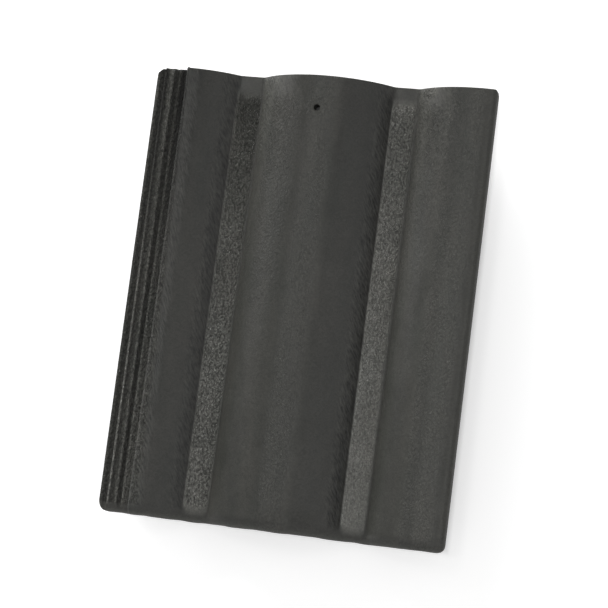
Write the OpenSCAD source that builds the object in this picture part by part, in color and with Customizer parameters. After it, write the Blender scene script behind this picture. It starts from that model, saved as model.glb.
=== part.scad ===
// Interlocking roof tile with a wide middle roll, two narrow flat pans and two part rolls.
// X runs across the roof, +Y up the slope towards the head, +Z out of the roof.
// The origin is on the ground under the middle of the tile, which lies on its nibs and nose bars.

/* [Overall] */
// Width over the side lock
tile_w = 330; // [320:1:345]
// Length from the nose to the head
tile_l = 424; // [380:1:460]
// Width of roof that one tile covers, which is two pans and two rolls
cover_w = 300; // [290:1:308]
// Thickness of the tile
wall_t = 12; // [9:0.5:13]

/* [Pans and rolls] */
// Width of each flat pan
pan_w = 24; // [14:1:36]
// Middle of the first pan, from the left edge
first_pan = 92.5; // [88:0.5:98]
// Height of the middle roll above the pans
mid_roll_h = 28; // [22:0.5:36]
// Height above the pans of the part roll on the left, which starts at the side lock
start_roll_h = 18; // [15:0.5:21]
// Height above the pans of the part roll on the right, which laps the next tile
lap_roll_h = 23.5; // [21:0.5:28]
// How far the crest of the right part roll stands in from the right edge
lap_crest_in = 17; // [12:1:24]

/* [Side lock] */
// Width of the outer rim
rim_w = 3.4; // [2.6:0.2:4.4]
// Height of the outer rim above the pans
rim_h = 5.5; // [4.5:0.1:7]
// Width of the water channel between rim and rib
channel_w = 5.2; // [4.6:0.1:6]
// Width of the rib
rib_w = 11; // [9:0.2:12]
// Height of the rib above the pans
rib_h = 9; // [7:0.5:10]
// Width of the groove between rib and ledge
groove_w = 3; // [2.6:0.1:4]
// Width of the ledge between groove and step
ledge_w = 8.4; // [8:0.1:10]
// Height of the ledge above the pans
ledge_h = 7.5; // [5:0.5:9]
// Height of the floor of channel and groove above the pans
floor_h = 3; // [1:0.5:4]
// How far each wall of rim, rib and ledge leans back
lean = 1; // [0.6:0.1:1.2]
// How far the step from the ledge up to the left roll leans back
step_run = 1.2; // [0.6:0.1:4]
// Depth of the side lock's underside below the pans
lock_under = 5; // [3:0.5:8]
// Play between a side lock and the tile that laps it
lock_gap = 1.5; // [1:0.1:2]
// Play beside each rim and rib
side_gap = 0.5; // [0.3:0.1:0.6]

/* [Edges] */
// Radius over which the step turns into the left roll
step_r = 2.5; // [1:0.5:4]
// Radius over which the right roll turns down at the right edge
lap_edge_r = 5; // [2:0.5:6]
// Length of the rounding over the nose
nose_run = 12; // [6:1:16]
// Depth of the rounding over the nose
nose_drop = 10; // [4:0.5:11]
// Radius of the nose's corners, seen from above
nose_corner_r = 10; // [4:1:14]
// Radius of the head's corners, seen from above
head_corner_r = 5; // [2:0.5:8]

/* [Underside] */
// Depth of the nose bars below the pans
bar_drop = 10; // [6:0.5:14]
// Length of each nose bar up the slope
bar_l = 9; // [6:0.5:14]
// Distance from one nose bar to the next
bar_pitch = 26; // [18:1:40]
// Number of nose bars
bar_n = 2; // [1:1:3]
// Depth of the hanging nibs below the pans
nib_drop = 10; // [6:0.5:14]
// Width of each hanging nib
nib_w = 28; // [16:1:30]
// Length of each hanging nib where it meets the pan
nib_l = 18; // [12:1:26]
// How far the back of a nib slopes in towards its tip
nib_slope = 6; // [2:0.5:8]
// Distance from the head to the nibs
nib_in = 4; // [2:0.5:12]

/* [Nail hole] */
// Diameter of the nail hole
nail_d = 6; // [4:0.5:8]
// Distance from the head to the nail hole
nail_in = 31; // [24:1:50]
// Diameter of the dish around the nail hole
dish_d = 15; // [10:1:22]
// Depth of the dish around the nail hole
dish_depth = 1.5; // [0.5:0.1:2.5]

/* [Hidden] */

// Number of flats that round off the nose, and each of the two long edges
nose_flats = 3;
edge_flats = 2;
// Fineness of true round shapes
$fn = 96;
// Spare length by which cutting shapes reach past what they cut
spare = 5;
// Depth of a solid before its underside is cut away
deep = 60;

left = -tile_w / 2;
right = tile_w / 2;
nose = -tile_l / 2;
head = tile_l / 2;

// Levels above the ground
pan_top = wall_t + max(bar_drop, nib_drop);
pan_under = pan_top - wall_t;
rim_top = pan_top + rim_h;
rib_top = pan_top + rib_h;
ledge_top = pan_top + ledge_h;
lock_floor = pan_top + floor_h;
top = pan_top + max(mid_roll_h, lap_roll_h, start_roll_h) + spare;

// Pans and rolls repeat at half the covered width
pitch = cover_w / 2;
pan_1 = left + first_pan;
pan_2 = pan_1 + pitch;
mid_crest = (pan_1 + pan_2) / 2;
lap_crest = right - lap_crest_in;

// Corners of the side lock, from its rim to the start of the left roll
rim_end = left + rim_w;
rib_start = rim_end + channel_w;
rib_end = rib_start + rib_w;
ledge_start = rib_end + groove_w;
step_foot = ledge_start + ledge_w;
start_crest = step_foot + step_run;

// Each roll is an arc of this radius that rises over a half width
function arc_r(half_w, h) = (half_w * half_w + h * h) / (2 * h);
mid_r = arc_r((pitch - pan_w) / 2, mid_roll_h);
start_r = arc_r(pan_1 - pan_w / 2 - start_crest, start_roll_h);
lap_r = arc_r(lap_crest - pan_2 - pan_w / 2, lap_roll_h);

// Centres of the three arcs
mid_c = [mid_crest, pan_top + mid_roll_h - mid_r];
start_c = [start_crest, pan_top + start_roll_h - start_r];
lap_c = [lap_crest, pan_top + lap_roll_h - lap_r];

// Slope of the step, with the directions up along it and straight out of it
step_angle = atan2(start_roll_h - ledge_h, step_run);
step_up = [cos(step_angle), sin(step_angle)];
step_out = [-sin(step_angle), cos(step_angle)];

// Where a line from point p along unit vector u leaves a circle of radius r at c
function leaves(c, r, p, u) =
    let(d = p - c, b = d * u)
    p + u * (sqrt(b * b - d * d + r * r) - b);

// Middles of the roundings over the step and the right edge
step_c = leaves(start_c, start_r - step_r,
    [step_foot, ledge_top] - step_out * step_r, step_up);
lap_edge_c = leaves(lap_c, lap_r - lap_edge_r, [right - lap_edge_r, lap_c.y], [0, 1]);

// The underside of the step, from the side lock's underside up to the left roll's hollow
lock_under_z = pan_top - lock_under;
step_in = [step_foot, ledge_top] - step_out * wall_t;
rise_x = step_in.x + (lock_under_z - step_in.y) / tan(step_angle);
hollow_start = leaves(start_c, start_r - wall_t, step_in, step_up);

// Slopes of the flats on the step and on the right edge, between what they join
function slopes(from, to) = [for (i = [1 : edge_flats]) from + (to - from) * i / (edge_flats + 1)];
step_slopes = slopes(asin((start_c.x - step_c.x) / (start_r - step_r)), step_angle);
lap_slopes = slopes(asin((lap_edge_c.x - lap_c.x) / (lap_r - lap_edge_r)), 90);

// Corners of the nose's rounding, as distance from the nose and depth below the top
nose_line = [for (i = [0 : nose_flats])
    let(step = 90 / (nose_flats + 1), m = (i + 0.5) * step, h = step / 2)
    [nose_run * (1 - sin(m) / cos(h)), nose_drop * (1 - cos(m) / cos(h))]];

// Limits a shape to the stretch from x0 to x1, down to below the ground
module between(x0, x1) {
    intersection() {
        children();
        translate([x0, nose - spare, -spare]) cube([x1 - x0, tile_l + 2 * spare, top + spare]);
    }
}

// A roll turned about its own axis, with a rounded nose
module rod(c, r) {
    translate([c.x, nose, c.y]) rotate([-90, 0, 0]) rotate_extrude() polygon(concat(
        [[0, 0]],
        [for (i = [nose_flats : -1 : 0]) [r - nose_line[i].y, nose_line[i].x]],
        [[r, tile_l], [0, tile_l]]
    ));
}

// A level stretch from x0 to x1 with its top at z and a rounded nose, down to below the ground
module slab(x0, x1, z) {
    translate([x0, nose, z]) rotate([90, 0, 90]) linear_extrude(x1 - x0) polygon(concat(
        [[0, -z - spare]],
        [for (i = [nose_flats : -1 : 0]) [nose_line[i].x, -nose_line[i].y]],
        [[tile_l, 0], [tile_l, -z - spare]]
    ));
}

// Everything below a plane through point p that climbs to the right at a slope
module below(p, slope) {
    translate([p.x, nose - spare, p.y]) rotate([0, -slope, 0]) translate([-tile_w, 0, -tile_w])
        cube([2 * tile_w, tile_l + 2 * spare, tile_w]);
}

// Top line of the side lock
lock_line = [
    [left, rim_top],
    [rim_end, rim_top],
    [rim_end + lean, lock_floor],
    [rib_start - lean, lock_floor],
    [rib_start, rib_top],
    [rib_end, rib_top],
    [rib_end + lean, lock_floor],
    [ledge_start - lean, lock_floor],
    [ledge_start, ledge_top],
    [step_foot, ledge_top]
];

// What the next tile's lapping edge leaves open over the side lock, with play beside and above it:
// a tongue hangs into the channel, the rib and the groove are passed over, and the edge ends at the step
function lap_line(play, lift) = [
    [left - play, rim_top + lift],
    [rim_end + play, rim_top + lift],
    [rim_end + lean + play, lock_floor + lift],
    [rib_start - lean - play, lock_floor + lift],
    [rib_start - play, rib_top + lift],
    [ledge_start + play, rib_top + lift],
    [ledge_start + lean + play, ledge_top + lift],
    [step_foot - play, ledge_top + lift]
];

// The side lock, with as much solid under it as the pans have
module lock_section() {
    polygon(concat(
        [[left, pan_top - deep]],
        lock_line,
        [[step_foot + spare, ledge_top], [step_foot + spare, pan_top - deep]]
    ));
}

// The left roll where it rises from the side lock's ledge, ahead of its rounding
module start_section() {
    intersection() {
        translate(start_c) circle(start_r);
        polygon([
            [step_foot, pan_top - deep],
            [step_foot, ledge_top],
            [start_crest, pan_top + start_roll_h],
            [start_crest, top],
            [pan_1, top],
            [pan_1, pan_top - deep]
        ]);
    }
}

// Everything under the top line, for what fits onto the tile below
module under_top() {
    lock_section();
    translate([step_foot, pan_top - deep]) square([right - step_foot, deep]);
    start_section();
    disc(mid_c, mid_r, pan_1, pan_2);
    disc(lap_c, lap_r, pan_2, right);
}

// A disc above the pans' underside, from x0 to x1
module disc(c, r, x0, x1) {
    intersection() {
        translate(c) circle(r);
        translate([x0, pan_under - spare]) square([x1 - x0, top - pan_under]);
    }
}

// What is open under the tile's two sides: below its own side lock, and where the next tile's fits
module under_sides() {
    translate([left - spare, -2 * spare]) square([rise_x - left + spare, lock_under_z + 2 * spare]);
    translate([cover_w, lock_gap]) start_section();
    translate([cover_w, 0]) polygon(concat(
        [[left - side_gap, -2 * spare]],
        lap_line(side_gap, lock_gap),
        [[start_crest - side_gap, pan_top + start_roll_h + lock_gap], [start_crest, -2 * spare]]
    ));
}

// Everything under the plain tile
module under_tile() {
    under_sides();
    translate([left - spare, -2 * spare]) square([tile_w + 2 * spare, pan_under + 2 * spare]);
    disc(mid_c, mid_r - wall_t, pan_1, pan_2);
    disc(start_c, start_r - wall_t, hollow_start.x, pan_1);
    disc(lap_c, lap_r - wall_t, pan_2, left + cover_w - side_gap);
    polygon([
        [rise_x - spare, -2 * spare],
        [rise_x - spare, lock_under_z],
        [rise_x, lock_under_z],
        hollow_start,
        [hollow_start.x + spare, -2 * spare]
    ]);
}

// Everything under a nose bar, which fits down onto the tile in the course below
module under_bar() {
    under_sides();
    translate([0, -wall_t - bar_drop]) under_top();
}

// Runs a section from y0 to y1 along the slope
module along(y0, y1) {
    translate([0, y1, 0]) rotate([90, 0, 0]) linear_extrude(y1 - y0) children();
}

// The tile's upper side, with solid under it
module upper() {
    slab(pan_1 - pan_w, right, pan_top);
    between(pan_1, pan_2) rod(mid_c, mid_r);
    intersection() {
        between(step_foot - lean, pan_1) rod(start_c, start_r);
        below([step_foot, ledge_top], step_angle);
        intersection_for (a = step_slopes) below(step_c + step_r * [-sin(a), cos(a)], a);
    }
    intersection() {
        between(pan_2, right) rod(lap_c, lap_r);
        intersection_for (a = lap_slopes) below(lap_edge_c + lap_edge_r * [sin(a), cos(a)], -a);
    }
    intersection() {
        along(nose - spare, head) lock_section();
        slab(left - spare, step_foot + 2 * spare, rib_top);
    }
}

// What the hollow underside and the gaps between the nose bars take out of the solid
module underside() {
    for (i = [0 : bar_n - 1]) {
        y = nose + i * bar_pitch;
        along(i == 0 ? nose - spare : y, y + bar_l) under_bar();
        along(y + bar_l, i == bar_n - 1 ? head + spare : y + bar_pitch) under_tile();
    }
}

// A nib under each pan, with an upright face that hooks over the batten
module nibs() {
    back = head - nib_in;
    for (x = [pan_1, pan_2])
        translate([x - nib_w / 2, 0, 0]) rotate([90, 0, 90]) linear_extrude(nib_w) polygon([
            [back - nib_l, pan_under - nib_drop],
            [back - nib_slope, pan_under - nib_drop],
            [back, pan_under + wall_t / 2],
            [back - nib_l, pan_under + wall_t / 2]
        ]);
}

// What is outside a corner of radius r at x, y, which faces along sx, sy
module corner_waste(x, y, sx, sy, r) {
    translate([x, y, -spare]) scale([sx, sy, 1]) difference() {
        translate([-r, -r, 0]) cube([r + spare, r + spare, top + 2 * spare]);
        translate([-r, -r, -spare]) cylinder(r = r, h = top + 4 * spare);
    }
}

// The nail hole through the middle roll, with a shallow dish around it
module nail_hole() {
    dish_r = arc_r(dish_d / 2, dish_depth);
    crest_z = mid_c.y + sqrt(mid_r * mid_r - mid_c.x * mid_c.x);
    translate([0, head - nail_in, 0]) {
        cylinder(d = nail_d, h = top + spare);
        translate([0, 0, crest_z - dish_depth + dish_r]) sphere(dish_r);
    }
}

module roof_tile() {
    color("#454543") {
        difference() {
            upper();
            underside();
            corner_waste(left, nose, -1, -1, nose_corner_r);
            corner_waste(right, nose, 1, -1, nose_corner_r);
            corner_waste(left, head, -1, 1, head_corner_r);
            corner_waste(right, head, 1, 1, head_corner_r);
            nail_hole();
        }
        nibs();
    }
}

roof_tile();
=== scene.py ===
# %% [markdown]
# # A coated concrete roof tile
#
# The object is one roof tile: a wavy slab of concrete with a wide roll down its middle, a flat pan on
# each side of it, and half a roll along each edge. The left edge carries a low side lock, which the
# next tile laps. The CAD model already has the right sizes, so it is loaded first and measured.
# All lengths below are in millimetres, because that is how a tile maker would write them down.

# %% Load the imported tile
import math
import bpy
import numpy as np
from mathutils import Matrix, Vector


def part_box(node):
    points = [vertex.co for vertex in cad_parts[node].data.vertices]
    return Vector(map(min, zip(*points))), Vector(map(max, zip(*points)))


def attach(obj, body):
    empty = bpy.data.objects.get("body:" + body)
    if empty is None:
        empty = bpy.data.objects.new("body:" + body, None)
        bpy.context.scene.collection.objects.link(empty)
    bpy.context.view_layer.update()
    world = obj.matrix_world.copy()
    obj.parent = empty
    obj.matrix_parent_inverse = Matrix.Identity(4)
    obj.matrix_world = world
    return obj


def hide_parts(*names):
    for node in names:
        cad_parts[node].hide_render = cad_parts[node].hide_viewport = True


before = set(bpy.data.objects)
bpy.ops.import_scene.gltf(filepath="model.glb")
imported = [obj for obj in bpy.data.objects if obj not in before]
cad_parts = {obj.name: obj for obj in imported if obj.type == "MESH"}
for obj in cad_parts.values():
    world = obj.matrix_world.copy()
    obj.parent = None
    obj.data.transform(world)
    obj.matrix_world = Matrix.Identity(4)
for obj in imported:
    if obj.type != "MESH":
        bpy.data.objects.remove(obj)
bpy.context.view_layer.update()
mm = 0.001
low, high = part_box("roof_tile")
left, nose, ground = (value / mm for value in low)
right, head, crest_top = (value / mm for value in high)
print(f"tile {right - left:.0f} wide, {head - nose:.0f} long, {crest_top - ground:.0f} high")

# %% [markdown]
# ## Rolls and pans
#
# Each roll is an arc that rises from the pans. The tile could be swept along a curve, but the nose,
# the underside and the nail hole would then need cutting. A height for every point of a grid is
# simpler: one function gives the top, another the underside, and both can be uneven like real concrete.

# %% Heights of the rolls
pan_top = 22.0
pan_half = 12.0
pans = (-72.5, 77.5)
rolls = {"left": (-132.8, 48.3, 18.0), "middle": (2.5, 63.0, 28.0), "right": (148.0, 58.5, 23.5)}


def roll_round(name):
    """Crest, middle height and radius of a roll, from its half width and its rise."""
    crest, half, rise = rolls[name]
    radius = (half ** 2 + rise ** 2) / (2 * rise)
    return crest, pan_top + rise - radius, radius


def roll_height(x, name, inset=0.0):
    """Height at x of a roll, or of the same arc inset by a depth."""
    crest, middle, radius = roll_round(name)
    return middle + np.sqrt(np.clip((radius - inset) ** 2 - (x - crest) ** 2, 0, None))


for name in rolls:
    print(name, "roll: crest %.1f, middle %.1f, radius %.1f" % roll_round(name))

# %% [markdown]
# ## Soft joins
#
# Wet concrete never holds a knife-sharp inner corner. Where two heights meet, a soft maximum or
# minimum rounds the join, and its width sets how far the rounding reaches.

# %% Soft maximum and minimum


def soft_max(a, b, width):
    """The higher of two heights, with a rounded join."""
    share = np.clip(0.5 + 0.5 * (a - b) / width, 0, 1)
    return b + (a - b) * share + width * share * (1 - share)


def soft_min(a, b, width):
    """The lower of two heights, with a rounded join."""
    return -soft_max(-a, -b, width)


print("two level stretches join", soft_max(np.float64(1.0), np.float64(1.0), 1.0) - 1.0, "higher")

# %% [markdown]
# ## The side lock
#
# Along the left edge run a rim, a water channel, a rib, a narrow groove and a ledge, and then a steep
# step climbs to the left roll. Paint and sand have settled in the channel, in the groove and on top of
# the rib, so the hollows are shallower than in the CAD model and the rib has a ridge along each side.
# The next tile's edge laps over all of it with some play: a tongue hangs into the channel, and the edge
# ends just before the step. That line gives this tile's own right edge its underside.

# %% Line of the side lock
rim_end, rib_start, rib_end, ledge_start, step_foot = -161.6, -156.4, -145.4, -142.4, -134.0
rim_top, rib_top, ledge_top, lock_floor = 27.5, 31.0, 29.5, 25.0
channel_fill, groove_fill, rib_dip, ridge = 26.3, 28.2, 29.7, 1.8
lean, play, lift = 1.0, 0.5, 1.5
corner_soft = 0.8
cover = 300.0
lock_line = np.array([
    (left, rim_top),
    (rim_end, rim_top),
    (rim_end + lean, channel_fill),
    (rib_start - lean, channel_fill),
    (rib_start, rib_top),
    (rib_start + ridge, rib_top),
    (rib_start + 2 * ridge, rib_dip),
    (rib_end - 2.5 * ridge, rib_dip),
    (rib_end - 1.6 * ridge, rib_top),
    (rib_end - 0.8 * ridge, rib_top),
    (rib_end + lean, groove_fill),
    (ledge_start - lean, groove_fill),
    (ledge_start, ledge_top),
    (step_foot, ledge_top),
])
next_lock = np.array([
    (left - play, rim_top),
    (rim_end + play, rim_top),
    (rim_end + lean + play, lock_floor),
    (rib_start - lean - play, lock_floor),
    (rib_start - play, rib_top),
    (ledge_start + play, rib_top),
    (ledge_start + lean + play, ledge_top),
    (step_foot - play, ledge_top),
]) + (cover, lift)


def lock_height(x):
    """Height of the side lock, with its corners softened."""
    shifts = np.linspace(-corner_soft, corner_soft, 7)
    return sum(np.interp(x + shift, lock_line[:, 0], lock_line[:, 1]) for shift in shifts) / len(shifts)


print("side lock from", left, "to", step_foot)

# %% [markdown]
# ## The rounded nose
#
# The lower end of the tile, the nose, is rounded over so that water drips off. In the photograph the
# rounding follows the rolls, so each height sinks by the same depth: nothing at the start of the
# rounding, and most at the very end, along a quarter of an ellipse.

# %% Depth of the nose rounding
nose_run, nose_deep = 12.0, 10.0


def nose_sink(y):
    """How far the top has sunk at y."""
    part = np.clip(1 - (y - nose) / nose_run, 0, 1)
    return nose_deep * (1 - np.sqrt(1 - part ** 2))


print("nose sinks", float(nose_sink(np.float64(nose))), "at its end")

# %% [markdown]
# ## The whole top line
#
# The highest of the lock, the pans and the rolls is the top. Each part roll ends in a small round: on
# the left it leads down to the steep step, on the right to the lapping edge. The joins between pans and
# rolls grow wider where the nose sinks, because the coating lies thicker there.

# %% Top of the plain tile
step_rise = 8.75
step_r, lap_edge_r = 2.5, 5.0
join_width, join_growth, lock_join = 1.2, 0.6, 0.8


def edge_middle(name, edge_x):
    """Height of the middle of a round that touches a roll from inside, with its middle at edge_x."""
    crest, middle, radius = roll_round(name)
    edge_r = step_r if name == "left" else lap_edge_r
    return middle + math.sqrt((radius - edge_r) ** 2 - (edge_x - crest) ** 2)


def edge_round_height(x, name, edge_x):
    """Height of the round that ends a part roll, and nothing that matters over the roll itself."""
    crest, middle, radius = roll_round(name)
    edge_r = step_r if name == "left" else lap_edge_r
    touch = edge_x + edge_r * (edge_x - crest) / (radius - edge_r)
    over = edge_middle(name, edge_x) + np.sqrt(np.clip(edge_r ** 2 - (x - edge_x) ** 2, 0, None))
    past = x < touch if name == "left" else x > touch
    return np.where(past, over, np.inf)


step_round_x = -130.57
lap_round_x = right - lap_edge_r


def top_line(x, sunk):
    """Height of the top at x, with the surface sunk by a depth."""
    lock = np.where(x < step_foot + 5, np.minimum(lock_height(x), rib_top - sunk), 0)
    step = ledge_top + (x - step_foot) * step_rise
    left_roll = np.minimum(roll_height(x, "left"), edge_round_height(x, "left", step_round_x))
    left_roll = np.minimum(left_roll, np.where(x < step_round_x, step, np.inf))
    right_roll = np.minimum(roll_height(x, "right"), edge_round_height(x, "right", lap_round_x))
    pan = np.where(x > pans[0] - 2 * pan_half, pan_top, 0)
    join = join_width + join_growth * sunk
    waves = soft_max(soft_max(left_roll, roll_height(x, "middle"), join), right_roll, join)
    return soft_max(soft_max(waves, pan, join) - sunk, lock, lock_join)


print("highest point of the line", round(float(top_line(np.linspace(left, right, 3301), 0).max()), 2))

# %% [markdown]
# ## The underside
#
# Under the rolls the tile is hollow, so that it is about as thick everywhere. Two bars across the nose
# fit down onto the course below, and under each pan a nib hooks over the batten. The photograph does
# not show this side, so it is the usual plain one for such a tile, as in the CAD model.

# %% Height of the underside
wall = 12.0
pan_under = pan_top - wall
lock_under, rise_x, hollow_x, hollow_z = 17.0, -123.35, -122.2, 27.07
lap_start = next_lock[0, 0]


def plain_under(x):
    """Height of the plain underside at x."""
    hollow = np.full_like(x, pan_under)
    for name in rolls:
        hollow = np.maximum(hollow, roll_height(x, name, wall))
    left_side = np.interp(x, [rise_x, hollow_x], [lock_under, hollow_z])
    right_side = np.interp(x, next_lock[:, 0], next_lock[:, 1])
    return np.where(x < hollow_x, left_side, np.where(x > lap_start, right_side, hollow))


def bar_under(x):
    """Height of the underside at x where a bar fits onto the tile below."""
    below = top_line(x, 0) - pan_top
    plain = plain_under(x)
    fitted = np.where(x < rise_x, np.maximum(plain, below), below)
    return np.where(x > lap_start, plain, fitted)


bars = ((nose, nose + 9.0), (nose + 26.0, nose + 35.0))
nib_half = 14.0
nib_front, nib_tip, nib_back = head - 22.0, head - 10.0, head - 4.0
nib_back_z = 16.0


def under(x, y):
    """Height of the underside with its bars and nibs."""
    height = plain_under(x)
    for start, end in bars:
        height = np.where((y >= start) & (y <= end), bar_under(x), height)
    for pan in pans:
        nib = np.interp(y, [nib_front, nib_tip, nib_back], [0.0, 0.0, nib_back_z])
        inside = (np.abs(x - pan) <= nib_half) & (y >= nib_front) & (y <= nib_back)
        height = np.where(inside, np.minimum(height, nib), height)
    return height


print("bars at", bars, "and nibs from", nib_front, "to", nib_back)

# %% [markdown]
# ## Lines of the grid
#
# The grid needs many lines where the shape is busy, such as the side lock, and few where it is plain.
# Key lines stand at every corner of the shape, with a pair close together at each upright step, and
# the gaps between them are filled evenly. All of it stays well below two hundred thousand triangles.

# %% Key lines and filling
nail_x, nail_y, nail_r = 0.0, head - 31.0, 3.0
nail_square = nail_r * 0.89
nail_rings = [nail_square * part for part in (0.25, 0.5, 0.75, 1)] + [3.6, 4.8, 6.2, 7.8]
step_gap = 0.2
pan_edges = (-12.8, -12.0, -11.2, -10.2, 9.4, 10.6, 12.0)
lap_turns = range(12, 90, 12)
step_turns = range(0, 90, 14)
nose_turns = range(0, 91, 7)


def pair(*steps):
    """Two lines close together at each step."""
    return [step + side for step in steps for side in (-step_gap, step_gap)]


def filled(keys, spacing):
    """Lines at all keys and, between them, at most a spacing apart."""
    keys = np.unique(np.round(keys, 3))
    parts = []
    for a, b in zip(keys, keys[1:]):
        steps = math.ceil((b - a) / spacing((a + b) / 2))
        parts.append(np.linspace(a, b, steps + 1)[:-1])
    return np.concatenate(parts + [keys[-1:]])


around_nail = [0.0] + nail_rings + [-ring for ring in nail_rings]
keys_x = [left, left + 0.3, left + 0.8, hollow_x, right]
keys_x += [*lock_line[1:, 0], *next_lock[1:-1, 0]]
keys_x += pair(rise_x, lap_start, *[pan + side * nib_half for pan in pans for side in (-1, 1)])
keys_x += [pan + edge for pan in pans for edge in pan_edges]
keys_x += [nail_x + d for d in around_nail]
keys_x += [lap_round_x + lap_edge_r * math.sin(math.radians(turn)) for turn in lap_turns]
keys_x += [step_round_x - step_r * math.sin(math.radians(turn)) for turn in step_turns]
across = filled(keys_x, lambda x: 0.8 if x < step_round_x else 0.9 if x > lap_start else 2.3)
keys_y = [nose + nose_run * (1 - math.cos(math.radians(turn))) for turn in nose_turns]
keys_y += pair(*[end for bar in bars for end in bar if end > nose], nib_front, nib_back) + [nib_tip]
keys_y += [nail_y + d for d in around_nail] + [head - d for d in (0, 0.2, 0.5, 1.0)]
along = filled(keys_y, lambda y: 3.4)
print(len(across), "lines across and", len(along), "along")

# %% [markdown]
# ## Round corners and the nail hole
#
# Seen from above, the nose has rounder corners than the head, whose left corner is cut off straight.
# The rows near a corner are squeezed inwards, so the edge follows the corner. Around the nail, square
# rings of the grid are pulled onto circles: one becomes the rim of the hole, what is inside it is left
# out, and the pull fades over the rings outside it.

# %% Bend the grid
grid_x, grid_y = np.meshgrid(across, along)


def corner_cut(distance, radius):
    """How far a rounded corner takes the edge in, at a distance from the end."""
    part = np.clip(1 - distance / radius, 0, 1)
    return radius * (1 - np.sqrt(1 - part ** 2))


left_nose_r, left_nose_share, left_head_cut = 13.0, 0.7, 5.0
right_nose_r, right_head_r = 8.0, 3.0
squeeze = 40.0
cut_left = left_nose_share * corner_cut(grid_y - nose, left_nose_r)
cut_left += np.clip(left_head_cut - (head - grid_y), 0, None)
cut_right = corner_cut(grid_y - nose, right_nose_r) + corner_cut(head - grid_y, right_head_r)
to_left = np.clip(1 - (grid_x - left) / squeeze, 0, 1) ** 2
to_right = np.clip(1 - (right - grid_x) / squeeze, 0, 1) ** 2
plan_x = grid_x + cut_left * to_left - cut_right * to_right
plan_y = grid_y.copy()

nail_i = int(np.argmin(np.abs(across - nail_x)))
nail_j = int(np.argmin(np.abs(along - nail_y)))
row, column = np.indices(grid_x.shape)
ring = np.maximum(np.abs(row - nail_j), np.abs(column - nail_i))
rim_ring = 4
pulls = ((nail_r, 1.0), (3.9, 0.8), (5.0, 0.5), (6.3, 0.25))
for outward, (radius, share) in enumerate(pulls):
    here = ring == rim_ring + outward
    off_x, off_y = plan_x[here] - nail_x, plan_y[here] - nail_y
    grow = 1 + share * (radius / np.hypot(off_x, off_y) - 1)
    plan_x[here] = nail_x + off_x * grow
    plan_y[here] = nail_y + off_y * grow
print("hole rim has", int((ring == rim_ring).sum()), "points")

# %% [markdown]
# ## Unevenness
#
# The top is pressed by a roller and then coated, so it is never quite smooth: it swells by a fraction
# of a millimetre, more along the tile than across it. Random heights on a coarse lattice, joined
# smoothly, give that, and a fixed seed makes every run the same. The nail hole sits in a shallow dish.
# The cut head and the nose are a little wavy too, and the cut has left a small burr at the step.

# %% Uneven top


def swell(x, y, step_x, step_y, seed):
    """Smooth random heights from -1 to 1 on a lattice of the given steps."""
    dice = np.random.default_rng(seed)
    at_x, at_y = (x - left) / step_x + 1, (y - nose) / step_y + 1
    lattice = dice.uniform(-1, 1, (int(at_y.max()) + 3, int(at_x.max()) + 3))
    col, lin = np.floor(at_x).astype(int), np.floor(at_y).astype(int)
    part_x, part_y = at_x - col, at_y - lin
    part_x, part_y = part_x ** 2 * (3 - 2 * part_x), part_y ** 2 * (3 - 2 * part_y)
    near = lattice[lin, col] * (1 - part_x) + lattice[lin, col + 1] * part_x
    far = lattice[lin + 1, col] * (1 - part_x) + lattice[lin + 1, col + 1] * part_x
    return near * (1 - part_y) + far * part_y


def edge_round(distance, radius):
    """How far a small round takes an edge down."""
    return corner_cut(np.clip(distance, 0, None), radius)


dish_half, dish_deep, dish_reach, dish_soft = 7.5, 0.6, 12.0, 0.5
far_above = 99.0
long_swell, fine_swell = 0.14, 0.08
left_edge_r, head_edge_r = 0.8, 1.0
head_back, head_wave, nose_wave, nose_rows = 0.25, 0.3, 0.35, 4
burr_x, burr_out = -131.5, 1.4
least_wall = 0.5
dish_r = (dish_half ** 2 + dish_deep ** 2) / (2 * dish_deep)
nail_off = np.hypot(plan_x - nail_x, plan_y - nail_y)
dish = crest_top - dish_deep + dish_r - np.sqrt(np.clip(dish_r ** 2 - nail_off ** 2, 0, None))
dish = np.where(nail_off < dish_r, dish, far_above)
top_z = top_line(plan_x, nose_sink(plan_y))
top_z = np.where(nail_off < dish_reach, soft_min(top_z, dish, dish_soft), top_z)
top_z += long_swell * swell(plan_x, plan_y, 9.0, 30.0, 3)
top_z += fine_swell * swell(plan_x, plan_y, 5.0, 7.0, 4)
top_z -= edge_round(plan_x - left, left_edge_r) + edge_round(head - plan_y, head_edge_r)
under_z = np.minimum(under(plan_x, plan_y), top_z - least_wall)
plan_y[-1] += -head_back + head_wave * swell(plan_x[-1], plan_y[-1], 3.0, 50.0, 5)
plan_y[-1] += np.clip(burr_out - np.abs(plan_x[-1] - burr_x), 0, None)
nose_edge = swell(plan_x[:nose_rows], plan_y[:nose_rows], 11.0, 50.0, 6)
plan_y[:nose_rows] += nose_wave * (1 + nose_edge)
print("top from %.1f to %.1f, underside from %.1f" % (top_z.min(), top_z.max(), under_z.min()))

# %% [markdown]
# ## One closed mesh
#
# The top grid, the underside grid, the outer walls and the wall of the hole are stitched into one
# closed mesh. The coating lies on the top, the nose, both sides and in the hole, and those faces carry
# the first material. The underside and the cut head are bare, and carry the second.

# %% Stitch the mesh
lines, posts = grid_x.shape
count = lines * posts
number = np.arange(count).reshape(lines, posts)
points = np.vstack([
    np.column_stack([plan_x.ravel(), plan_y.ravel(), top_z.ravel()]),
    np.column_stack([plan_x.ravel(), plan_y.ravel(), under_z.ravel()]),
])
cells = np.stack([number[:-1, :-1], number[:-1, 1:], number[1:, 1:], number[1:, :-1]], -1)
solid = np.ones(cells.shape[:2], bool)
solid[nail_j - rim_ring:nail_j + rim_ring, nail_i - rim_ring:nail_i + rim_ring] = False
top_faces = cells[solid]
under_faces = top_faces[:, ::-1] + count


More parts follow.
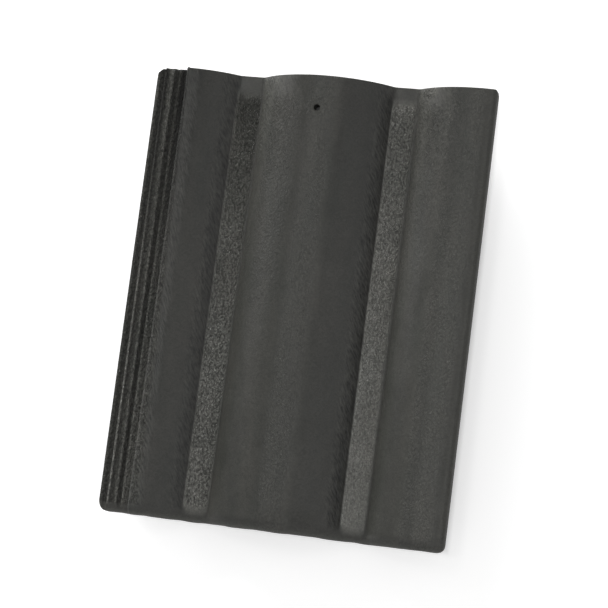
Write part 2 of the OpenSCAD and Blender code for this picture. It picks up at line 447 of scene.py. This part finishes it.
def wall_faces(path):
    """Upright faces below a run of top points, with the outside on the run's right."""
    a, b = np.array(path[:-1]), np.array(path[1:])
    return np.stack([a + count, b + count, b, a], -1)


nose_wall = wall_faces(number[0, :])
right_wall = wall_faces(number[:, -1])
head_wall = wall_faces(number[-1, ::-1])
left_wall = wall_faces(number[::-1, 0])
hole_end_j, hole_end_i = nail_j + rim_ring + 1, nail_i + rim_ring + 1
hole = number[nail_j - rim_ring:hole_end_j, nail_i - rim_ring:hole_end_i]
hole_path = np.concatenate([hole[:-1, 0], hole[-1, :-1], hole[:0:-1, -1], hole[0, ::-1]])
hole_wall = wall_faces(hole_path)
coated = [top_faces, nose_wall, right_wall, left_wall, hole_wall]
bare = [under_faces, head_wall]
faces = np.concatenate(coated + bare)
coat_count = sum(len(part) for part in coated)
used, places = np.unique(faces, return_inverse=True)
faces = places.reshape(faces.shape)
tile_mesh = bpy.data.meshes.new("concrete_tile")
tile_mesh.from_pydata((points[used] * mm).tolist(), [], faces.tolist())
tile_mesh.polygons.foreach_set("material_index", [0] * coat_count + [1] * (len(faces) - coat_count))
tile_mesh.polygons.foreach_set("use_smooth", [True] * len(faces))
sharp_from = 38
tile_mesh.set_sharp_from_angle(angle=math.radians(sharp_from))
print(len(faces) * 2, "triangles, closed:", not tile_mesh.validate())

# %% [markdown]
# ## Maps of the coating
#
# The coating lies thick and smooth on the nose and on the flanks of the rolls, and sand shows through
# elsewhere. Four numbers are kept at each point of the mesh, and the material reads them by their names:
# grain is how much sand shows, tone how pale the paint is, together with the light and shade painted into
# it, brush how far its strokes show, and dull how far the gloss is gone. The maps start plain, and soft
# bands are laid over them one by one.

# %% Plain maps and soft bands


def band(x, start, end, soft):
    """1 between start and end, fading to 0 over a soft length on either side."""
    rise = np.clip((x - start) / soft + 0.5, 0, 1)
    fall = np.clip((end - x) / soft + 0.5, 0, 1)
    return (rise * rise * (3 - 2 * rise)) * (fall * fall * (3 - 2 * fall))


def lay(values, here, value):
    """Blend a value into a map where a mask says so."""
    return values + here * (value - values)


at_x, at_y = points[used, 0], points[used, 1]
least_grain = 0.02
grain = np.full(len(used), least_grain)
# The tone map holds the paler paint and, laid into it, painted light and shade.
tone_and_light = np.ones(len(used))
brush = np.zeros(len(used))
dull = np.zeros(len(used))
uphill = np.clip((at_y - nose) / (head - nose), 0, 1)
downhill = 1 - uphill
above_middle, head_run, nose_run_out = 20, 150, 100
near_head = np.clip((at_y - above_middle) / head_run, 0, 1)
near_nose = np.clip((above_middle - at_y) / nose_run_out, 0, 1)
past_nose = band(at_y, nose + 12, head + 30, 10.0)
inside = band(at_y, nose + 15, head - 12, 6.0)
print("maps for", len(used), "points")

# %% [markdown]
# ## Beside the pans
#
# The crease on the left of each pan is painted dark as shade, with slanted brush strokes. On the right, a
# thin dark line of painted shade divides the pan from the foot of the next roll, and a pale grainy patch
# at the head carries a painted highlight. The nose end of each pan runs out in a paler tongue. The foot
# of the next roll is painted lighter where the roll across the pan shades it from the low light.

# %% Map of the creases
crease_shade_tone, head_highlight_tone, line_shade_tone, tongue_tone = 0.72, 2.0, 0.7, 1.5
foot_painted_light = (1.0 + 0.35 * near_head, 1.3)
patch_grain, foot_grain = 0.45, 0.4
for pan in pans:
    crease = band(at_x, pan - 21, pan - 11.5, 3.0) * past_nose
    strokes = band(at_x, pan - 25, pan - 11.5, 7.0) * past_nose
    head_highlight_patch = band(at_x, pan + 11, pan + 30, 8.0) * band(at_y, head - 10, head + 9, 8.0)
    thin_shade_line = band(at_x, pan + 10.4, pan + 13, 1.5) * past_nose
    tongue = band(at_x, pan - 9, pan + 8, 4.0) * band(at_y, nose + 6, nose + 15, 4.0)
    roll_foot = band(at_x, pan + 10, pan + 22, 8.0) * inside
    brush = np.maximum(brush, strokes)
    # Painted shade in the crease and on the thin line, and a painted highlight on the head patch.
    tone_and_light = lay(tone_and_light, crease, crease_shade_tone)
    tone_and_light = lay(tone_and_light, head_highlight_patch, head_highlight_tone)
    tone_and_light = lay(tone_and_light, thin_shade_line, line_shade_tone)
    tone_and_light = lay(tone_and_light, tongue, tongue_tone)
    grain = lay(grain, head_highlight_patch, patch_grain)
    grain = np.maximum(grain, foot_grain * uphill * roll_foot)
# Painted light on the foot of each next roll, lifting the shade cast by the roll across the pan.
for pan, foot_light_tone in zip(pans, foot_painted_light):
    tone_and_light = lay(tone_and_light, band(at_x, pan + 14, pan + 25, 7.0), foot_light_tone)
print("darkest crease tone", round(float(tone_and_light.min()), 2))

# %% [markdown]
# ## Sandy pans
#
# Sand fills both pans, up to a soft end below the head and a rounded end above the nose. The paint is
# worn pale there, and the paleness also stands in for their sheen. Each pan is painted paler along its
# left side, where the roll beside it shades it from the low light. The left pan is painted darker near
# the head, against the low light on the grains there. A painted highlight runs as a bright line along the
# left edge of each pan.

# %% Map of the pans


def pan_area(pan, nose_gap, right_side, head_gap):
    """1 on the grainy part of a pan."""
    nose_end = nose + nose_gap + 4 * np.clip(np.abs(at_x - pan) / pan_half, 0, 1) ** 6
    return band(at_x, pan - pan_half, pan + right_side, 1.2) * band(at_y, nose_end, head - head_gap, 14.0)


edge_highlight_tone, edge_line_end = 0.9, 10.6
left_pan = pan_area(pans[0], nose_gap=13, right_side=10.8, head_gap=19)
right_pan = pan_area(pans[1], nose_gap=12, right_side=10.4, head_gap=17)
from_left = [np.clip((at_x - pan + pan_half) / 22, 0, 1) for pan in pans]
# Painted light on the left side of each pan, and painted shade near the head of the left pan.
left_pan_pale_and_lit = (4.4 - 1.5 * from_left[0]) * (1 - 0.6 * near_head ** 1.5) * (1 + 0.28 * near_nose)
right_pan_pale_and_lit = (5.5 - 2.2 * from_left[1]) * (0.88 + 0.4 * uphill) * (1 - 0.22 * near_head)
grain = lay(grain, left_pan, 1.0 - 0.1 * near_head)
grain = lay(grain, right_pan, 0.45 + 0.65 * uphill - 0.15 * near_head)
tone_and_light = lay(tone_and_light, left_pan, left_pan_pale_and_lit)
tone_and_light = lay(tone_and_light, right_pan, right_pan_pale_and_lit)
# A painted highlight along the left edge of each pan.
for pan in pans:
    tone_and_light += edge_highlight_tone * band(at_x, pan - pan_half, pan - edge_line_end, 0.8) * inside
print("palest pan tone", round(float(tone_and_light.max()), 2))

# %% [markdown]
# ## Crests and flanks
#
# The crests are grainier than the flanks and are painted a little paler, as their sheen. Towards the head
# some stretches turn darker, and the flanks that face left show grain and brush strokes. Slow random
# patches vary it all.

# %% Map of the rolls
grainy_crests = ((-10, 18, 0.32), (122, 156, 0.34))
crest_sheen = ((118, 160, 10.0, 1.15), (136, 154, 8.0, 1.45 - 0.15 * near_head), (-6, 22, 8.0, 1.22))
patch_tones, patch_grains, most_patchy = 0.09, 0.3, 0.45
flank_strokes = 0.5
for start, end, strength in grainy_crests:
    grain = np.maximum(grain, strength * band(at_x, start, end, 12.0))
# Painted sheen along the crests.
for start, end, soft, sheen_tone in crest_sheen:
    tone_and_light = lay(tone_and_light, band(at_x, start, end, soft), sheen_tone)
darker = ((-130, -94, 0.16), (-130, -116, 0.2), (22, 56, 0.2), (-30, -4, 0.15), (124, 142, 0.2))
for start, end, less in darker:
    tone_and_light = tone_and_light * (1 - less * near_head * band(at_x, start, end, 8.0))
tone_and_light = tone_and_light * (1 - 0.14 * downhill * band(at_x, -46, -28, 10.0))
patches = swell(at_x, at_y, 9.0, 20.0, 7)
tone_and_light = tone_and_light * (1 + patch_tones * patches)
grain = grain * (1 + patch_grains * patches * (grain < most_patchy))
off_head = band(at_y, nose + 15, head - 16, 26.0)
grain = np.maximum(grain, 0.38 * uphill * band(at_x, -52, -12, 20.0) * off_head)
grain = np.maximum(grain, 0.43 * uphill ** 2 * band(at_x, 90, 130, 14.0) * off_head)
for start, end in ((-64, -20), (86, 130)):
    brush = np.maximum(brush, flank_strokes * uphill ** 3 * band(at_x, start, end, 16.0))
print("mean grain of the rolls and pans", round(float(grain.mean()), 3))

# %% [markdown]
# ## Worn lines and painted highlights of the side lock
#
# The whole lock is grainy. Its raised edges are worn pale and carry painted highlights, most near the
# nose, and its channel is painted dark as shade near the head. The strip beside the step is grainy too,
# narrow near the head and wide near the nose, with brush strokes past it.

# %% Map of the lock
on_lock = band(at_y, nose + 9, head + 9, 4.0)
lock_strip = band(at_x, left - 5, step_foot + 1, 2.0) * on_lock
step_strip = band(at_x, step_foot, step_foot + 3 + 8 * downhill, 2.0 + 8.0 * downhill) * on_lock
ledge = band(at_x, ledge_start, step_foot, 2.0) * on_lock
lock_grain, ledge_grain, worn_grain = 0.8, 0.85, 1.0
lock_tone, rim_tone, channel_shade_tone, rib_tone = 1.25, 1.5, 0.6, 1.9
ridge_dull, step_strokes = 0.7, 0.8
grain = lay(grain, lock_strip, lock_grain)
tone_and_light = lay(tone_and_light, lock_strip, lock_tone)
grain = lay(grain, step_strip, ledge_grain)
tone_and_light = lay(tone_and_light, step_strip, (0.8 + 1.2 * downhill) * (1 - 0.3 * near_head))
grain = lay(grain, ledge, ledge_grain)
tone_and_light = lay(tone_and_light, ledge, (0.5 + 1.4 * downhill) * (1 - 0.5 * near_head))
# Worn pale lines on the raised edges, with painted highlights on them.
worn_lit_lines = (
    (rib_start + 0.5 * ridge, 1.8, 4.2),
    (rib_end - 1.2 * ridge, 1.8, 2.0),
    (ledge_start + 0.6, 2.2, 1.8),
)
for line, at_head, more in worn_lit_lines:
    worn_lit_line = band(at_x, line - 1.0, line + 1.0, 1.0) * on_lock
    tone_and_light = lay(tone_and_light, worn_lit_line, (at_head + more * downhill) * (1 - 0.45 * near_head))
    grain = lay(grain, worn_lit_line, worn_grain)
tone_and_light = lay(tone_and_light, band(at_x, left - 9, rim_end - 0.5, 1.0) * on_lock, rim_tone)
# Painted shade in the channel near the head.
channel_shade = near_head * band(at_x, -160, -154, 2.0)
tone_and_light = lay(tone_and_light, channel_shade, channel_shade_tone)
dull = np.maximum(dull, ridge_dull * channel_shade)
tone_and_light = lay(tone_and_light, near_head * band(at_x, -153, -147, 2.0), rib_tone)
brush = np.maximum(brush, step_strokes * band(at_x, step_foot + 3, step_foot + 16, 8.0) * on_lock)
print("mean tone with the lock", round(float(tone_and_light.mean()), 3))

# %% [markdown]
# ## The edges and the nail hole
#
# The nose and the right edge are rubbed dull. The nose is painted paler, as light on its rounding, which
# turns away from the lamps, and the right edge is a little paler. A ring of grain lies around the nail
# hole, and the hole itself is dull and painted darker, as shade. The finished maps are then stored in the
# mesh.

# %% Map of the edges and the nail hole
roll_nose = band(at_x, -60, 45, 10.0) * band(at_y, nose - 9, nose + 24, 12.0)
roll_nose_dull, nose_dull, hole_dull = 0.5, 0.75, 0.6
nose_painted_light, right_edge_tone, hole_shade_tone = 1.4, 1.3, 0.8
nail_grain = 0.42
dull = np.maximum(dull, roll_nose_dull * roll_nose)
dull = np.maximum(dull, nose_dull * band(at_y, nose - 9, nose + 7, 5.0))
dull = np.maximum(dull, band(at_x, right - 3, right + 9, 4.0))
# Painted light on the nose rounding, which turns away from the lamps.
tone_and_light = lay(tone_and_light, band(at_y, nose - 9, nose + 5, 6.0), nose_painted_light)
tone_and_light = lay(tone_and_light, band(at_x, right - 6, right + 9, 4.0), right_edge_tone)
from_nail = np.hypot(at_x - nail_x, at_y - nail_y)
grain = np.maximum(grain, nail_grain * band(from_nail, 6, 11, 3.0))
dull = np.maximum(dull, hole_dull * band(from_nail, -9, 4.6, 1.5))
# Painted shade inside the nail hole.
tone_and_light = lay(tone_and_light, band(from_nail, -9, 3.6, 1.0), hole_shade_tone)
for name, values in (("grain", grain), ("tone_and_light", tone_and_light), ("dull", dull), ("brush", brush)):
    tile_mesh.attributes.new(name, "FLOAT", "POINT").data.foreach_set("value", values)
print("mean tone", round(float(tone_and_light.mean()), 3))

# %% [markdown]
# ## Sand under the coating
#
# Both the coated and the bare concrete show sand: lumps one to three millimetres across with pits
# between them. The effect is a node group, built once and placed in each material with its own grain
# size. It puts out a height for a bump and a mask of the pits.

# %% Node group for the sand


def add(tree, kind, place, **settings):
    """A node of a kind in a tree, at a place on the board."""
    made = tree.nodes.new(kind)
    made.location = place
    for key, value in settings.items():
        setattr(made, key, value)
    return made


def new_group(name, inputs, outputs):
    """An empty node group with its sockets, and its two end nodes."""
    tree = bpy.data.node_groups.new(name, "ShaderNodeTree")
    for label, kind, value in inputs:
        socket = tree.interface.new_socket(label, in_out="INPUT", socket_type=kind)
        if value is not None:
            socket.default_value = value
    for label, kind in outputs:
        tree.interface.new_socket(label, in_out="OUTPUT", socket_type=kind)
    return tree, add(tree, "NodeGroupInput", (-900, 0)), add(tree, "NodeGroupOutput", (700, 0))


sand, given, result = new_group(
    "sand",
    [("Vector", "NodeSocketVector", None), ("Grains per metre", "NodeSocketFloat", 450.0)],
    [("Height", "NodeSocketFloat"), ("Pits", "NodeSocketFloat")],
)
drawn = add(sand, "ShaderNodeVectorMath", (-800, 0), operation="MULTIPLY")
drawn.inputs[1].default_value = (1.55, 1.0, 1.1)
sized = add(sand, "ShaderNodeVectorMath", (-650, 0), operation="SCALE")
lumps = add(sand, "ShaderNodeTexNoise", (-450, 150))
lumps.inputs["Scale"].default_value = 1.0
lumps.inputs["Detail"].default_value = 3.0
lumps.inputs["Roughness"].default_value = 0.6
lumps.inputs["Distortion"].default_value = 0.8
grains = add(sand, "ShaderNodeTexVoronoi", (-450, -200), feature="SMOOTH_F1")
grains.inputs["Scale"].default_value = 0.9
grains.inputs["Smoothness"].default_value = 0.5
heap = add(sand, "ShaderNodeMath", (-150, 0), operation="MULTIPLY_ADD")
heap.inputs[1].default_value = -0.55
pits = add(sand, "ShaderNodeMapRange", (150, -200))
pits.inputs["From Min"].default_value = 0.42
pits.inputs["From Max"].default_value = 0.18
sand.links.new(given.outputs["Vector"], drawn.inputs[0])
sand.links.new(drawn.outputs[0], sized.inputs[0])
sand.links.new(given.outputs["Grains per metre"], sized.inputs["Scale"])
sand.links.new(sized.outputs[0], lumps.inputs["Vector"])
sand.links.new(sized.outputs[0], grains.inputs["Vector"])
sand.links.new(grains.outputs["Distance"], heap.inputs[0])
sand.links.new(lumps.outputs["Fac"], heap.inputs[2])
sand.links.new(heap.outputs[0], pits.inputs["Value"])
sand.links.new(heap.outputs[0], result.inputs["Height"])
sand.links.new(pits.outputs["Result"], result.inputs["Pits"])
print("sand group has", len(sand.nodes), "nodes")

# %% [markdown]
# ## Drag marks
#
# The tile is pushed out of a machine nose first, so its tone changes in long faint streaks, and the
# wet coating curls a little on top of them. A second group stretches noise along the tile. It puts
# out the streaks, for colour and gloss, the curls, for mottling and the bump, and slanted brush marks.

# %% Node group for the drag marks
drag, given, result = new_group(
    "drag_marks",
    [("Vector", "NodeSocketVector", None), ("Curls per metre", "NodeSocketFloat", 150.0)],
    [("Streaks", "NodeSocketFloat"), ("Curls", "NodeSocketFloat"), ("Brush", "NodeSocketFloat")],
)
stretch = add(drag, "ShaderNodeVectorMath", (-700, 200), operation="MULTIPLY")
stretch.inputs[1].default_value = (55.0, 12.0, 55.0)
streaks = add(drag, "ShaderNodeTexNoise", (-450, 200))
streaks.inputs["Scale"].default_value = 1.0
streaks.inputs["Detail"].default_value = 4.0
slanted = add(drag, "ShaderNodeVectorRotate", (-850, -450), rotation_type="Z_AXIS")
slanted.inputs["Angle"].default_value = -0.45
bristle = add(drag, "ShaderNodeVectorMath", (-700, -450), operation="MULTIPLY")
bristle.inputs[1].default_value = (650.0, 130.0, 200.0)
brush_marks = add(drag, "ShaderNodeTexNoise", (-450, -450))
brush_marks.inputs["Scale"].default_value = 1.0
brush_marks.inputs["Detail"].default_value = 2.0
turned = add(drag, "ShaderNodeVectorMath", (-700, -150), operation="SCALE")
curls = add(drag, "ShaderNodeTexNoise", (-450, -150))
curls.inputs["Scale"].default_value = 1.0
curls.inputs["Detail"].default_value = 2.0
curls.inputs["Distortion"].default_value = 1.6
drag.links.new(given.outputs["Vector"], stretch.inputs[0])
drag.links.new(stretch.outputs[0], streaks.inputs["Vector"])
drag.links.new(given.outputs["Vector"], turned.inputs[0])
drag.links.new(given.outputs["Curls per metre"], turned.inputs["Scale"])
drag.links.new(turned.outputs[0], curls.inputs["Vector"])
drag.links.new(given.outputs["Vector"], slanted.inputs["Vector"])
drag.links.new(slanted.outputs[0], bristle.inputs[0])
drag.links.new(bristle.outputs[0], brush_marks.inputs["Vector"])
drag.links.new(brush_marks.outputs["Fac"], result.inputs["Brush"])
drag.links.new(streaks.outputs["Fac"], result.inputs["Streaks"])
drag.links.new(curls.outputs["Fac"], result.inputs["Curls"])
print("drag group has", len(drag.nodes), "nodes")

# %% [markdown]
# ## Helpers for materials
#
# Both materials and the floor are wired in the same few ways: a group is placed, a value is mapped to
# another range or to a colour, and numbers are multiplied and added.

# %% Wiring helpers


def new_material(name):
    """A material with its shader, and the place on the object to read textures from."""
    made = bpy.data.materials.new(name)
    made.use_nodes = True
    tree = made.node_tree
    spot = add(tree, "ShaderNodeTexCoord", (-1300, 0)).outputs["Object"]
    return made, tree, tree.nodes["Principled BSDF"], spot


def place(tree, group, where, vector, value):
    """A node group in a material, with its vector linked and its one number set."""
    made = add(tree, "ShaderNodeGroup", where, node_tree=group)
    tree.links.new(vector, made.inputs["Vector"])
    made.inputs[1].default_value = value
    return made


def tones(tree, where, fac, dark, light, start=0.3, end=0.7):
    """A ramp from a dark to a light colour."""
    ramp = add(tree, "ShaderNodeValToRGB", where)
    ramp.color_ramp.elements[0].position = start
    ramp.color_ramp.elements[0].color = (*dark, 1)
    ramp.color_ramp.elements[1].position = end
    ramp.color_ramp.elements[1].color = (*light, 1)
    tree.links.new(fac, ramp.inputs["Fac"])
    return ramp.outputs["Color"]


def span(tree, where, value, start, end, low_value, high_value):
    """A value mapped from one range to another."""
    made = add(tree, "ShaderNodeMapRange", where)
    limits = {"From Min": start, "From Max": end, "To Min": low_value, "To Max": high_value}
    for socket, limit in limits.items():
        made.inputs[socket].default_value = limit
    tree.links.new(value, made.inputs["Value"])
    return made.outputs["Result"]


def sum_of(tree, where, a, b, c):
    """The number a times b plus c, from sockets or plain numbers."""
    made = add(tree, "ShaderNodeMath", where, operation="MULTIPLY_ADD")
    for slot, value in enumerate((a, b, c)):
        if isinstance(value, (int, float)):
            made.inputs[slot].default_value = value
        else:
            tree.links.new(value, made.inputs[slot])
    return made.outputs[0]


print("helpers ready")

# %% [markdown]
# ## The coated concrete
#
# The coating is a dark charcoal paint. Its colour drifts along the streaks and turns a little more
# neutral where the tone map is pale, and the tone map, with its painted light and shade, makes it paler
# or darker. Sand, brush marks and mottling speckle it where their maps say so, and the sand specks also
# stand in for glints on the grains.

# %% Colour of the coating
coat_dark, coat_light = (0.0365, 0.0373, 0.0329), (0.0445, 0.0437, 0.0387)
coat_pale_neutral = (0.0405, 0.0405, 0.039, 1)
coating, tree, shader, where_on = new_material("coated_concrete")
maps = {}
for slot, name in enumerate(("grain", "tone_and_light", "dull", "brush")):
    stored = add(tree, "ShaderNodeAttribute", (-1300, -300 - 200 * slot), attribute_name=name)
    maps[name] = stored.outputs["Fac"]
coat_sand = place(tree, sand, (-1000, -200), where_on, 400.0)
coat_drag = place(tree, drag, (-1000, 200), where_on, 300.0)
coat_tone = tones(tree, (-600, 300), coat_drag.outputs["Streaks"], coat_dark, coat_light)
paler = add(tree, "ShaderNodeMix", (-300, 300), data_type="RGBA")
paler.inputs["B"].default_value = coat_pale_neutral
tree.links.new(span(tree, (-500, 450), maps["tone_and_light"], 1.0, 5.0, 0.0, 0.45), paler.inputs["Factor"])
tree.links.new(coat_tone, paler.inputs["A"])
# The sand specks are partly sand and partly painted glints.
sand_specks_and_glints = span(tree, (-700, 600), coat_sand.outputs["Height"], 0.1, 0.48, -0.45, 0.5)
bristles = span(tree, (-700, 900), coat_drag.outputs["Brush"], 0.3, 0.7, -0.6, 0.6)
mottle = span(tree, (-700, 1200), coat_drag.outputs["Curls"], 0.3, 0.7, -0.2, 0.2)
level = sum_of(tree, (-500, 600), sand_specks_and_glints, maps["grain"], 1.0)
level = sum_of(tree, (-400, 700), bristles, maps["brush"], level)
level = sum_of(tree, (-400, 900), mottle, 1.0, level)
level = sum_of(tree, (-300, 600), level, maps["tone_and_light"], 0.0)
shade = add(tree, "ShaderNodeVectorMath", (-100, 300), operation="SCALE")
tree.links.new(paler.outputs["Result"], shade.inputs[0])
tree.links.new(level, shade.inputs["Scale"])
tree.links.new(shade.outputs[0], shader.inputs["Base Color"])
print(coating.name, "reads", ", ".join(maps))

# %% [markdown]
# ## Gloss and bumps of the coating
#
# The paint has a satin gloss, and it is dull where it is rubbed. The bump is strong sand where the
# grain map says so, brush marks where theirs does, and faint curls everywhere.

# %% Gloss and bumps
brush_high, curl_high, coat_bump_high = 0.1, 0.026, 0.0055
gloss = span(tree, (-600, 0), coat_drag.outputs["Streaks"], 0.3, 0.7, 0.31, 0.37)
tree.links.new(sum_of(tree, (-400, 0), maps["dull"], 0.5, gloss), shader.inputs["Roughness"])
deep = sum_of(tree, (-850, -350), maps["grain"], maps["grain"], 0.0)
lumpy = sum_of(tree, (-700, -250), coat_sand.outputs["Height"], deep, 0.0)
brushed = sum_of(tree, (-700, -450), coat_drag.outputs["Brush"], maps["brush"], 0.0)
lumpy = sum_of(tree, (-600, -250), brushed, brush_high, lumpy)
coat_height = sum_of(tree, (-500, -250), coat_drag.outputs["Curls"], curl_high, lumpy)
coat_bump = add(tree, "ShaderNodeBump", (-250, -250))
coat_bump.inputs["Strength"].default_value = 1.0
coat_bump.inputs["Distance"].default_value = coat_bump_high
tree.links.new(coat_height, coat_bump.inputs["Height"])
tree.links.new(coat_bump.outputs["Normal"], shader.inputs["Normal"])
print(coating.name, "has", len(tree.nodes), "nodes")

# %% [markdown]
# ## The bare concrete
#
# The underside and the cut head are not coated. Bare concrete is a dull grey with sand grains, small
# dark pits and faint streaks from the mould.

# %% Material of the bare concrete
raw_dark, raw_light = (0.11, 0.108, 0.102), (0.155, 0.152, 0.143)
pit_shade = (0.45, 0.45, 0.45, 1)
raw, tree, shader, where_on = new_material("bare_concrete")
raw_sand = place(tree, sand, (-1000, -200), where_on, 620.0)
raw_drag = place(tree, drag, (-1000, 200), where_on, 90.0)
raw_tone = tones(tree, (-600, 300), raw_drag.outputs["Streaks"], raw_dark, raw_light)
pitted = add(tree, "ShaderNodeMix", (-300, 250), data_type="RGBA", blend_type="MULTIPLY")
pitted.inputs["B"].default_value = pit_shade
tree.links.new(raw_sand.outputs["Pits"], pitted.inputs["Factor"])
tree.links.new(raw_tone, pitted.inputs["A"])
tree.links.new(pitted.outputs["Result"], shader.inputs["Base Color"])
raw_gloss = span(tree, (-600, 0), raw_drag.outputs["Curls"], 0.3, 0.7, 0.78, 0.9)
tree.links.new(raw_gloss, shader.inputs["Roughness"])
raw_bump = add(tree, "ShaderNodeBump", (-250, -250))
raw_bump.inputs["Strength"].default_value = 0.7
raw_bump.inputs["Distance"].default_value = 0.0006
tree.links.new(raw_sand.outputs["Height"], raw_bump.inputs["Height"])
tree.links.new(raw_bump.outputs["Normal"], shader.inputs["Normal"])
print(raw.name, "has", len(tree.nodes), "nodes")

# %% [markdown]
# ## The tile in the frame
#
# The finished mesh stands for the CAD solid, in the same place, and belongs to the one body of the part.

# %% Put the tile in place
tile = bpy.data.objects.new("concrete_tile", tile_mesh)
bpy.context.collection.objects.link(tile)
tile_mesh.materials.append(coating)
tile_mesh.materials.append(raw)
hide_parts("roof_tile")
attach(tile, "root")
print(tile.name, "stands for roof_tile")

# %% [markdown]
# ## Floor and surroundings
#
# The photograph is cut out on white. A white floor takes the tile's soft shadow, and for the camera and
# for reflections it glows a little around the tile, so that it reads as white without more light on it.
# Under the tile it doesn't glow, and inside the hollow middle roll it is painted dark, as a shadow, so
# that the nail hole looks dark from above. The world is an even dim white.

# %% White floor and world
glow_strength, world_strength = 0.5, 0.33
paper_white, painted_hollow_shadow = (0.85, 0.85, 0.85), (0.06, 0.06, 0.06)
glow_edge = 0.012
shade_starts = {"X": 30 * mm, "Y": (head - 18) * mm}
shade_fades = {"X": 30 * mm, "Y": 14 * mm}


def seen(tree):
    """1 for rays from the camera, a mirror or glass."""
    path = add(tree, "ShaderNodeLightPath", (-900, 300))
    first = add(tree, "ShaderNodeMath", (-650, 300), operation="MAXIMUM")
    both = add(tree, "ShaderNodeMath", (-450, 300), operation="MAXIMUM")
    tree.links.new(path.outputs["Is Camera Ray"], first.inputs[0])
    tree.links.new(path.outputs["Is Glossy Ray"], first.inputs[1])
    tree.links.new(first.outputs[0], both.inputs[0])
    tree.links.new(path.outputs["Is Transmission Ray"], both.inputs[1])
    return both.outputs[0]


reach, floor_z = 20.0, low.z - 0.0003
corners = [(-reach, -reach, floor_z), (reach, -reach, floor_z)]
corners += [(reach, reach, floor_z), (-reach, reach, floor_z)]
floor_mesh = bpy.data.meshes.new("floor")
floor_mesh.from_pydata(corners, [], [(0, 1, 2, 3)])
floor = bpy.data.objects.new("floor", floor_mesh)
bpy.context.collection.objects.link(floor)
paper, tree, shader, where_on = new_material("white_paper")
shader.inputs["Roughness"].default_value = 0.9
shader.inputs["Specular IOR Level"].default_value = 0.0
shader.inputs["Emission Color"].default_value = (1, 1, 1, 1)
apart = add(tree, "ShaderNodeSeparateXYZ", (-900, -300))
tree.links.new(where_on, apart.inputs[0])
beside = add(tree, "ShaderNodeMath", (-200, -300), operation="MAXIMUM")
past_shade = add(tree, "ShaderNodeMath", (-200, -700), operation="MAXIMUM")
for slot, (axis, half) in enumerate(zip("XY", (right * mm, head * mm))):
    off = add(tree, "ShaderNodeMath", (-650, -300 - 200 * slot), operation="ABSOLUTE")
    tree.links.new(apart.outputs[axis], off.inputs[0])
    edge = span(tree, (-450, -300 - 200 * slot), off.outputs[0], half - glow_edge, half, 0.0, 1.0)
    tree.links.new(edge, beside.inputs[slot])
    start, end = shade_starts[axis], shade_starts[axis] + shade_fades[axis]
    edge = span(tree, (-450, -700 - 200 * slot), off.outputs[0], start, end, 0.0, 1.0)
    tree.links.new(edge, past_shade.inputs[slot])
# Painted shadow on the floor inside the hollow of the middle roll.
floor_white_and_shadow = tones(tree, (-50, -300), past_shade.outputs[0], painted_hollow_shadow, paper_white, 0.0, 1.0)
tree.links.new(floor_white_and_shadow, shader.inputs["Base Color"])
glow = sum_of(tree, (-250, 300), seen(tree), beside.outputs[0], 0.0)
glow = span(tree, (-100, 300), glow, 0.0, 1.0, 0.0, glow_strength)
tree.links.new(glow, shader.inputs["Emission Strength"])
floor_mesh.materials.append(paper)

world = bpy.data.worlds.new("studio")
bpy.context.scene.world = world
world.use_nodes = True
sky = world.node_tree.nodes["Background"]
sky.inputs["Color"].default_value = (1, 1, 1, 1)
sky.inputs["Strength"].default_value = world_strength
print("floor at", round(floor_z, 5))

# %% [markdown]
# ## Studio light
#
# One low light does most. It stands past the head, a little to the left, and rakes over the tile, so
# that the rolls and the sand show. It is kept out of reflections, because a camera across from it would
# see the smooth flanks mirror it as white. A weak light on the left and two narrow ones overhead give
# the crests their sheen, and two large weak ones fill in from the right and from the nose.

# %% Soft lights


def soft_light(name, place_at, size, power, mirrored=True):
    """A soft rectangular light that faces the tile, and shows in reflections or not."""
    lamp = bpy.data.lights.new(name, "AREA")
    lamp.shape = "RECTANGLE"
    lamp.size, lamp.size_y = size
    lamp.energy = power
    made = bpy.data.objects.new(name, lamp)
    bpy.context.collection.objects.link(made)
    aim = Vector((0, 0, 0.03)) - Vector(place_at)
    made.location = place_at
    made.rotation_euler = aim.to_track_quat("-Z", "Y").to_euler()
    made.visible_camera = False
    made.visible_glossy = mirrored
    print(name, "at", place_at)


soft_light("low_head_light", (-1.47, 2.54, 0.62), (2.0, 1.0), 158.0, mirrored=False)
soft_light("left_light", (-2.61, 0.95, 1.12), (1.0, 0.8), 7.0)
soft_light("overhead_light", (-0.70, 0.0, 3.94), (0.3, 0.9), 7.5)
soft_light("overhead_head_light", (-0.86, 1.21, 3.72), (0.3, 0.9), 4.5)
soft_light("right_fill", (1.84, 0.0, 1.84), (3.0, 3.0), 11.0)
soft_light("nose_fill", (0.0, -1.99, 1.67), (3.0, 3.0), 11.7)

# %% [markdown]
# ## Camera
#
# The camera was fitted to the corners of the tile in the photograph: nearly two metres away, almost
# overhead, a little to the right and towards the nose, and turned so that the tile leans in the frame.

# %% Camera of the photograph
sensor_width, focal_pixels, frame_pixels = 36.0, 2102.7, 608
camera_place = Vector((468.95, -218.47, 1902.51)) * mm
camera_data = bpy.data.cameras.new("camera")
camera_data.sensor_width = sensor_width
camera_data.lens = sensor_width * focal_pixels / frame_pixels
camera = bpy.data.objects.new("camera", camera_data)
bpy.context.collection.objects.link(camera)
bpy.context.scene.camera = camera
look_right = Vector((0.966374, 0.127141, -0.22351))
look_up = Vector((-0.097503, 0.985479, 0.13901))
look_back = Vector((0.237938, -0.112543, 0.964738))
turn = Matrix((look_right, look_up, look_back)).transposed().to_4x4()
camera.matrix_world = Matrix.Translation(camera_place) @ turn
bpy.context.scene.view_settings.view_transform = "Standard"
print("camera lens", round(camera_data.lens, 1))
